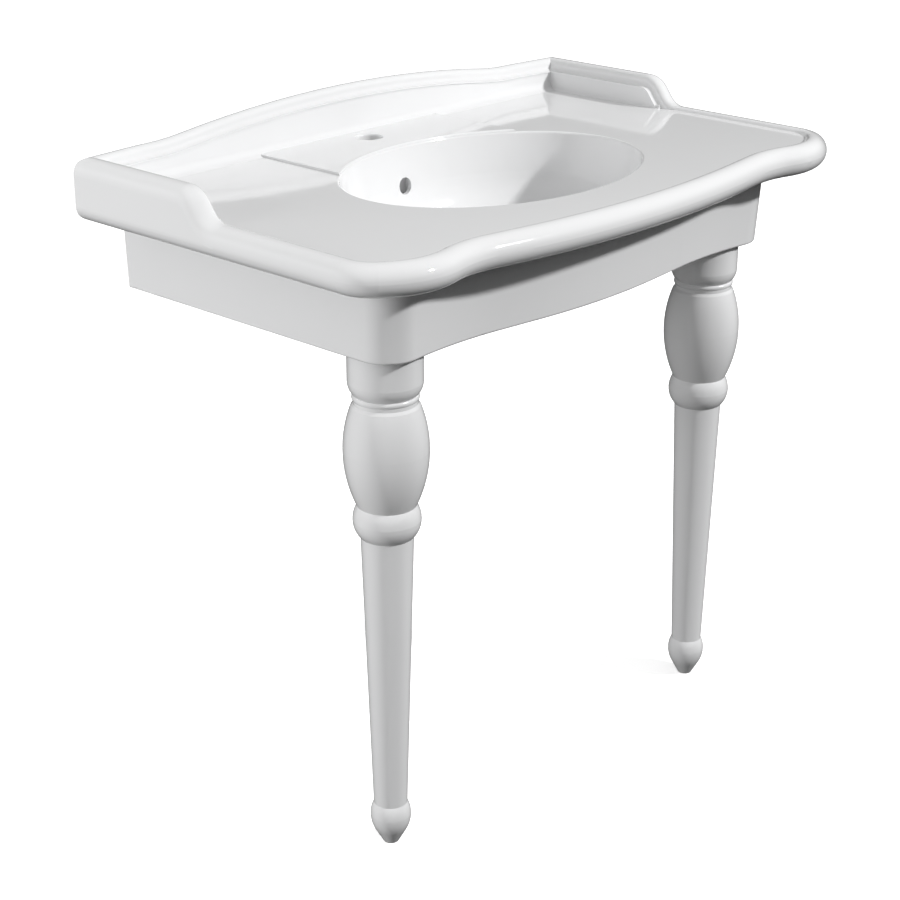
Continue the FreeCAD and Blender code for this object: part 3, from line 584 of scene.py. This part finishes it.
@dataclass(frozen=True)
class ThreadedRod:
    """A rod with a true screw thread, cut off at both ends."""

    name: str
    radius: float
    bottom: float
    top: float
    centre: Vector
    pitch: float = 1.5 * MM
    depth: float = 0.85 * MM
    steps: int = 36
    spare_turns: int = 2

    def draw_pitch(self) -> Object:
        """Draw the line of one pitch, some turns below the rod.

        Returns:
            The line.
        """
        clear_selection()
        start = self.bottom - self.spare_turns * self.pitch
        bpy.ops.mesh.primitive_plane_add(size=self.pitch, location=(self.centre.x, self.centre.y, start))
        line = bpy.context.object
        open_mesh(line)
        bpy.ops.mesh.merge(type="CENTER")
        bpy.ops.transform.translate(value=(self.radius - self.depth, 0.0, 0.0))
        flat = THREAD_FLAT * self.pitch
        flank = THREAD_FLANK * self.pitch
        for out, up in ((0.0, flat), (self.depth, flank), (0.0, flat), (-self.depth, flank)):
            bpy.ops.mesh.extrude_region_move(TRANSFORM_OT_translate={"value": (out, 0.0, up)})
        bpy.ops.object.mode_set(mode="OBJECT")
        return line

    def screw_up(self, line: Object) -> None:
        """Screw the line up past the top of the rod.

        Args:
            line: The line of one pitch.
        """
        screw = line.modifiers.new("screw", "SCREW")
        screw.axis = "Z"
        screw.screw_offset = self.pitch
        screw.iterations = int((self.top - self.bottom) / self.pitch) + 2 * self.spare_turns
        screw.steps = self.steps
        screw.render_steps = self.steps
        screw.use_merge_vertices = True
        screw.merge_threshold = WELD
        bpy.ops.object.modifier_apply(modifier=screw.name)

    def cut_end(self, rod: Object, height: float, outward: float) -> None:
        """Cut the rod off, and fill the cut where its edges close.

        Args:
            rod: The rod.
            height: Where it ends.
            outward: 1 at its top and -1 at its bottom.
        """
        open_mesh(rod)
        bpy.ops.mesh.remove_doubles(threshold=WELD)
        bpy.ops.mesh.select_all(action="SELECT")
        bpy.ops.mesh.bisect(
            plane_co=(self.centre.x, self.centre.y, height), plane_no=(0.0, 0.0, outward),
            use_fill=True, clear_outer=True
        )
        bpy.ops.object.mode_set(mode="OBJECT")

    def build(self) -> Object:
        """Draw one pitch of the thread, screw it up and cut the ends.

        Returns:
            The rod.
        """
        rod = self.draw_pitch()
        self.screw_up(rod)
        self.cut_end(rod, self.bottom, -1.0)
        self.cut_end(rod, self.top, 1.0)
        open_mesh(rod)
        close_mesh()
        return settle(rod, self.name)


def merge(piece: Object, tool: Object, how: Merge) -> None:
    """Cut or join a piece with a tool that then goes away.

    Args:
        piece: The piece.
        tool: The tool.
        how: What the tool does.
    """
    modifier = piece.modifiers.new("merge", "BOOLEAN")
    modifier.operation = how.value
    modifier.solver = "EXACT"
    modifier.object = tool
    pick(piece)
    bpy.ops.object.modifier_apply(modifier=modifier.name)
    bpy.data.objects.remove(tool)


def block(low: Vector, high: Vector) -> Object:
    """A box to cut or join with.

    Args:
        low: Its lowest corner.
        high: Its highest corner.

    Returns:
        The box.
    """
    clear_selection()
    bpy.ops.mesh.primitive_cube_add(size=1.0, location=(low + high) / 2)
    box = bpy.context.object
    box.scale = high - low
    bpy.ops.object.transform_apply(location=True, scale=True)
    return box


# ---- fitting to the frame ----


@dataclass(frozen=True)
class Span:
    """Box of a frame node at rest."""

    low: Vector
    high: Vector

    @property
    def bottom(self) -> float:
        """Its lowest height."""
        return self.low.z

    @property
    def top(self) -> float:
        """Its highest height."""
        return self.high.z

    @property
    def radius(self) -> float:
        """Radius of a turned node."""
        return (self.high.x - self.low.x) / 2

    @property
    def centre(self) -> Vector:
        """Its middle."""
        return (self.low + self.high) / 2


@dataclass
class Fitter:
    """Puts finished pieces on their bodies."""

    frame: dict

    def span(self, node: str) -> Span:
        """Box of a frame node."""
        return Span(*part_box(node))

    def keep(self, nodes: Iterable[str], finish: Material) -> None:
        """Give frame nodes, whose shape stays, a finish.

        Args:
            nodes: Names of the nodes.
            finish: Their material.
        """
        for node in nodes:
            for material_slot in self.frame["nodes"][node].material_slots:
                material_slot.material = finish
            log.info("%s keeps its shape, finish %s", node, finish.name)

    def replace(self, piece: Object, node: str, slot: str, finish: Material, body: Body) -> None:
        """Put a piece in place of a frame node.

        Args:
            piece: The piece.
            node: Name of the node.
            slot: Material slot of the node; not used.
            finish: Its material.
            body: Body that it rides on.
        """
        piece.data.materials.clear()
        piece.data.materials.append(finish)
        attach(piece, body.value)
        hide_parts(node)
        log.info("%s stands for %s, %d faces", piece.name, node, len(piece.data.polygons))


# ---- sub-assemblies ----


@dataclass
class Casting:
    """The basin in one piece, with deck, rim, splashback and apron."""

    fitter: Fitter
    materials: Materials

    def build(self) -> None:
        """Glaze the casting."""
        self.fitter.keep(["basin"], self.materials.glaze)


@dataclass
class LegSet:
    """One turned leg with what ties it to the apron's pad."""

    fitter: Fitter
    materials: Materials
    side: Side
    soft_edge: float = 0.6 * MM
    washer_edge: float = 0.35 * MM
    gasket_clearance: float = 2.0 * MM
    ring_clearance: float = 0.5 * MM

    def node(self, name: str) -> str:
        """Frame node of this side."""
        return f"{name}_{self.side.value}"

    def ring(self, name: str, clearance: float, edge: float, finish: Material) -> None:
        """A flat ring with rounded corners in place of a frame ring on the stud.

        Args:
            name: Frame node without its side.
            clearance: Gap between its bore and the stud.
            edge: Radius of its corners.
            finish: Its material.
        """
        node = self.node(name)
        span = self.fitter.span(node)
        bore = self.fitter.span(self.node("leg_stud")).radius + clearance
        section = rounded_ring(span.radius, bore, span.bottom, span.top, edge)
        piece = turned(f"{node}_turned", section, span.centre)
        self.fitter.replace(piece, node, name, finish, Body.CONSOLE)

    def stud(self) -> None:
        """The threaded stud."""
        node = self.node("leg_stud")
        span = self.fitter.span(node)
        rod = ThreadedRod(f"{node}_thread", span.radius, span.bottom, span.top, span.centre)
        self.fitter.replace(rod.build(), node, "leg_stud", self.materials.zinc, Body.CONSOLE)

    def build(self) -> None:
        """Finish the leg and model its fixings."""
        self.fitter.keep([self.node("leg")], self.materials.leg_glaze)
        self.fitter.keep([self.node("leg_nut")], self.materials.zinc)
        self.fitter.keep([self.node("leg_insert")], self.materials.brass)
        self.ring("leg_gasket", self.gasket_clearance, self.soft_edge, self.materials.pale_rubber)
        self.ring("leg_cushion", self.ring_clearance, self.soft_edge, self.materials.black_rubber)
        self.ring("leg_washer", self.ring_clearance, self.washer_edge, self.materials.zinc)
        self.stud()


@dataclass
class WasteSet:
    """The slotted waste and what draws it down on the bowl.

    mouth holds (beyond the seat, below the top) of the points that lead the plug to its seat.
    gasket_foot and gasket_brow hold (outward, upward) of the points that round the lower
    gasket's outer corners, counted from each corner.
    """

    fitter: Fitter
    materials: Materials
    bore: float = 18.0 * MM
    seat: float = 20.8 * MM
    seat_depth: float = 2.0 * MM
    mouth: Profile = ((1.6 * MM, 0.0), (0.5 * MM, 0.15 * MM), (0.0, 0.6 * MM))
    flange: float = 3.0 * MM
    rim_round: float = 1.4 * MM
    rim_steps: int = 5
    chamfer: float = 0.4 * MM
    tail: float = 20.95 * MM
    pitch: float = 2.309 * MM
    thread_depth: float = 1.15 * MM
    thread_lead: float = 0.8 * MM
    thread_runout: float = 1.0 * MM
    slot_width: float = 16.0 * MM
    slot_drop: float = 8.0 * MM
    slot_height: float = 9.0 * MM
    slot_land: float = 2.0 * MM
    web: float = 4.0 * MM
    web_drop: float = 26.0 * MM
    web_height: float = 6.0 * MM
    hub: float = 9.0 * MM
    spigot: float = 5.1 * MM
    cut_margin: float = 1.0 * MM
    gasket_clearance: float = 0.1 * MM
    gasket_slope: float = 0.25
    gasket_foot: Profile = ((-0.8 * MM, 0.0), (-0.2 * MM, 0.3 * MM), (0.0, 0.9 * MM))
    gasket_brow: Profile = ((-0.2 * MM, -0.9 * MM), (-0.3 * MM, -0.3 * MM), (-0.9 * MM, 0.0))

    def profile(self, span: Span) -> list[Pair]:
        """Section of the waste, from its lower inner edge out and back.

        Args:
            span: Box of the frame node.

        Returns:
            The closed section.
        """
        rim = span.radius
        root = self.tail - self.thread_depth
        thread_top = span.top - self.slot_drop - self.slot_height - self.slot_land
        flange_foot = span.top - self.flange
        seat_floor = span.top - self.seat_depth
        points = [(self.bore, span.bottom), (root - self.chamfer, span.bottom)]
        points += ridges(root, self.tail, span.bottom + self.thread_lead, thread_top, self.pitch)
        points += [(self.tail, thread_top + self.thread_runout), (self.tail, flange_foot)]
        points += [(rim - self.chamfer, flange_foot), (rim, flange_foot + self.chamfer)]
        points += quarter_round(
            rim - self.rim_round, span.top - self.rim_round, self.rim_round, 0.0, self.rim_steps
        )
        points += [(self.seat + beyond, span.top - below) for beyond, below in self.mouth]
        points += [(self.seat, seat_floor), (self.bore + self.chamfer, seat_floor)]
        points += [(self.bore, seat_floor - self.chamfer)]
        return points + [points[0]]

    def slots(self, piece: Object, span: Span) -> None:
        """Cut the two overflow slots through the tail.

        Args:
            piece: The turned waste.
            span: Box of the frame node.
        """
        half = self.slot_width / 2
        reach = self.tail + self.slot_width
        top = span.top - self.slot_drop
        low = Vector((-half, span.centre.y - reach, top - self.slot_height))
        high = Vector((half, span.centre.y + reach, top))
        merge(piece, block(low, high), Merge.CUT)

    def spider(self, piece: Object, span: Span) -> None:
        """Join the cross of webs with its bored hub.

        Args:
            piece: The turned waste.
            span: Box of the frame node.
        """
        centre = span.centre
        bottom = span.top - self.web_drop
        top = bottom + self.web_height
        base = Vector((centre.x, centre.y, bottom))
        rise = Vector((0.0, 0.0, self.web_height))
        inner = (self.bore + self.tail) / 2
        for arm in (Vector((inner, self.web / 2, 0.0)), Vector((self.web / 2, inner, 0.0))):
            merge(piece, block(base - arm, base + arm + rise), Merge.JOIN)
        hub = turned("hub", [(self.hub, bottom), (self.hub, top)], centre, solid=True)
        merge(piece, hub, Merge.JOIN)
        bore_ends = [(self.spigot, bottom - self.cut_margin), (self.spigot, top + self.cut_margin)]
        merge(piece, turned("hub_bore", bore_ends, centre, solid=True), Merge.CUT)

    def body(self) -> None:
        """Flange, threaded tail, slots and spider."""
        span = self.fitter.span("waste_body")
        piece = turned("waste_turned", self.profile(span), span.centre)
        self.slots(piece, span)
        self.spider(piece, span)
        settle(piece, "waste_turned")
        self.fitter.replace(piece, "waste_body", "waste_body", self.materials.chrome, Body.CONSOLE)

    def lower_gasket(self) -> None:
        """Tapered soft washer with a rounded edge."""
        node = "waste_lower_gasket"
        span = self.fitter.span(node)
        foot = span.radius - (span.top - span.bottom) * self.gasket_slope
        bore = self.tail + self.gasket_clearance
        section = [(bore, span.bottom)]
        section += [(foot + out, span.bottom + up) for out, up in self.gasket_foot]
        section += [(span.radius + out, span.top + up) for out, up in self.gasket_brow]
        section += [(bore, span.top), (bore, span.bottom)]
        piece = turned(f"{node}_turned", section, span.centre)
        self.fitter.replace(piece, node, node, self.materials.black_rubber, Body.CONSOLE)

    def build(self) -> None:
        """Model the waste and finish what keeps its shape."""
        self.body()
        self.lower_gasket()
        self.fitter.keep(["waste_flange_gasket"], self.materials.pale_rubber)
        self.fitter.keep(["waste_slip_washer"], self.materials.nylon)
        self.fitter.keep(["waste_backnut", "plug_cartridge"], self.materials.brass)


@dataclass
class PlugSet:
    """The lifting plug with its soft seal.

    dish_lip holds (inside the rim, below the top) of the points where the dish starts, and
    dish_floor (share of the rim's radius, share of the dish's depth) of those on its floor.
    """

    fitter: Fitter
    materials: Materials
    thickness: float = 5.0 * MM
    chamfer: float = 0.4 * MM
    edge: float = 2.0 * MM
    edge_steps: int = 6
    stem: float = 3.0 * MM
    dish: float = 0.6 * MM
    dish_lip: Profile = ((4.0 * MM, 0.0), (5.0 * MM, 0.2 * MM))
    dish_inset: float = 7.0 * MM
    dish_floor: Profile = ((0.4, 0.9), (0.15, 0.8))
    seal_edge: float = 0.5 * MM
    seal_bore: float = 11.0 * MM

    def cap(self) -> None:
        """Turned cap, slightly dished on top, with its stem."""
        span = self.fitter.span("plug")
        rim = span.radius
        under = span.top - self.thickness
        section = [(self.stem - self.chamfer, span.bottom), (self.stem, span.bottom + self.chamfer)]
        section += [(self.stem, under), (rim - self.chamfer, under), (rim, under + self.chamfer)]
        section += quarter_round(rim - self.edge, span.top - self.edge, self.edge, 0.0, self.edge_steps)
        section += [(rim - inside, span.top - below) for inside, below in self.dish_lip]
        section += [(rim - self.dish_inset, span.top - self.dish)]
        section += [(rim * share, span.top - self.dish * depth) for share, depth in self.dish_floor]
        piece = turned("plug_turned", section, span.centre, solid=True)
        self.fitter.replace(piece, "plug", "plug", self.materials.chrome, Body.PLUG)

    def seal(self) -> None:
        """Soft ring under the cap."""
        span = self.fitter.span("plug_seal")
        section = rounded_ring(span.radius, self.seal_bore, span.bottom, span.top, self.seal_edge)
        piece = turned("plug_seal_turned", section, span.centre)
        self.fitter.replace(piece, "plug_seal", "plug_seal", self.materials.black_rubber, Body.PLUG)

    def build(self) -> None:
        """Model the plug."""
        self.cap()
        self.seal()


# ---- studio ----


def stand(name: str, data: Union[bpy.types.Camera, bpy.types.Light], place: Triple, turn: Euler) -> Object:
    """Put a camera or a light in the scene.

    Args:
        name: Its name.
        data: What it is.
        place: Where it stands.
        turn: How it is turned.

    Returns:
        Its object.
    """
    obj = bpy.data.objects.new(name, data)
    obj.location = place
    obj.rotation_euler = turn
    bpy.context.scene.collection.objects.link(obj)
    return obj


@dataclass(frozen=True)
class Lamp:
    """A round soft light; mirrored says whether the glaze reflects it."""

    name: str
    place: Triple
    target: Triple
    size: float
    power: float
    mirrored: bool = True

    def build(self) -> None:
        """Add the light."""
        data = bpy.data.lights.new(self.name, "AREA")
        data.shape = "DISK"
        data.size = self.size
        data.energy = self.power
        aim = Vector(self.target) - Vector(self.place)
        obj = stand(self.name, data, self.place, aim.to_track_quat("-Z", "Y").to_euler())
        obj.visible_glossy = self.mirrored
        log.info("light %s, %.0f W", self.name, self.power)


@dataclass
class Studio:
    """Camera, white surround, pale floor and lights."""

    lens: float = 80.70
    sensor: float = 36.0
    camera_place: Triple = (-1.9125, -1.7188, 1.4542)
    camera_tilt: float = 21.92
    camera_heading: float = -46.99
    white: Triple = (1.0, 1.0, 1.0)
    sky: float = 0.53
    ground: float = 0.0
    sky_rise: Pair = (0.05, 0.40)
    floor_size: float = 12.0
    floor_seen: Triple = (0.97, 0.97, 0.97)
    floor_unseen: Triple = (0.04, 0.04, 0.04)
    floor_glow: float = 0.50
    lamps: tuple[Lamp, ...] = (
        Lamp("key", (3.38, -5.95, 4.90), (0.0, 0.0, 0.65), size=0.55, power=560.0),
        Lamp("left", (-2.80, 0.68, 0.85), (-0.25, -0.05, 0.5), size=2.0, power=57.0, mirrored=False),
    )

    def camera(self) -> None:
        """The camera of the photograph."""
        data = bpy.data.cameras.new("camera")
        data.lens = self.lens
        data.sensor_width = self.sensor
        turn = Euler((math.radians(90.0 - self.camera_tilt), 0.0, math.radians(self.camera_heading)))
        bpy.context.scene.camera = stand("camera", data, self.camera_place, turn)

    def surround(self) -> None:
        """White to the camera; to the object a soft sky over a dark ground."""
        world = bpy.data.worlds.new("studio")
        bpy.context.scene.world = world
        world.use_nodes = True
        sketch = NodeSketch(world.node_tree)
        background = sketch.tree.nodes["Background"]
        sketch.feed(background.inputs["Color"], self.white)
        axes = sketch.add("ShaderNodeSeparateXYZ")
        sketch.join(sketch.add("ShaderNodeTexCoord").outputs["Generated"], axes.inputs["Vector"])
        light = sketch.remap(axes.outputs["Z"], self.sky_rise, (self.ground, self.sky), Ramp.SOFT)
        seen = sketch.add("ShaderNodeLightPath").outputs["Is Camera Ray"]
        sketch.join(sketch.mix(seen, light, 1.0, Mix.NUMBER), background.inputs["Strength"])

    def floor(self) -> None:
        """Pale floor, white to the camera and dim to the object above it."""
        clear_selection()
        bpy.ops.mesh.primitive_plane_add(size=self.floor_size, location=(0.0, 0.0, 0.0))
        floor = bpy.context.object
        floor.name = "floor"
        sketch = FinishSketch("floor")
        seen = sketch.add("ShaderNodeLightPath").outputs["Is Camera Ray"]
        tone = sketch.mix(seen, self.floor_unseen, self.floor_seen)
        sketch.join(tone, sketch.shader.inputs["Base Color"])
        sketch.set(Roughness=1.0, Specular_IOR_Level=0.0)
        sketch.feed(sketch.shader.inputs["Emission Color"], self.white)
        glow = sketch.remap(seen, (0.0, 1.0), (0.0, self.floor_glow))
        sketch.join(glow, sketch.shader.inputs["Emission Strength"])
        floor.data.materials.append(sketch.material)

    def build(self) -> None:
        """Set up the whole studio."""
        self.camera()
        self.surround()
        self.floor()
        for lamp in self.lamps:
            lamp.build()
        bpy.context.scene.view_settings.view_transform = "Standard"


def main() -> None:
    """Build the looks round the frame."""
    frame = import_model()
    fitter = Fitter(frame)
    wall = fitter.span("basin").high.y
    beyond_legs = wall + 1.0
    materials = Materials(Glaze("glaze", wall).build(), Glaze("leg_glaze", beyond_legs).build())
    Casting(fitter, materials).build()
    for side in Side:
        LegSet(fitter, materials, side).build()
    WasteSet(fitter, materials).build()
    PlugSet(fitter, materials).build()
    Studio().build()


if __name__ == "__main__":
    main()
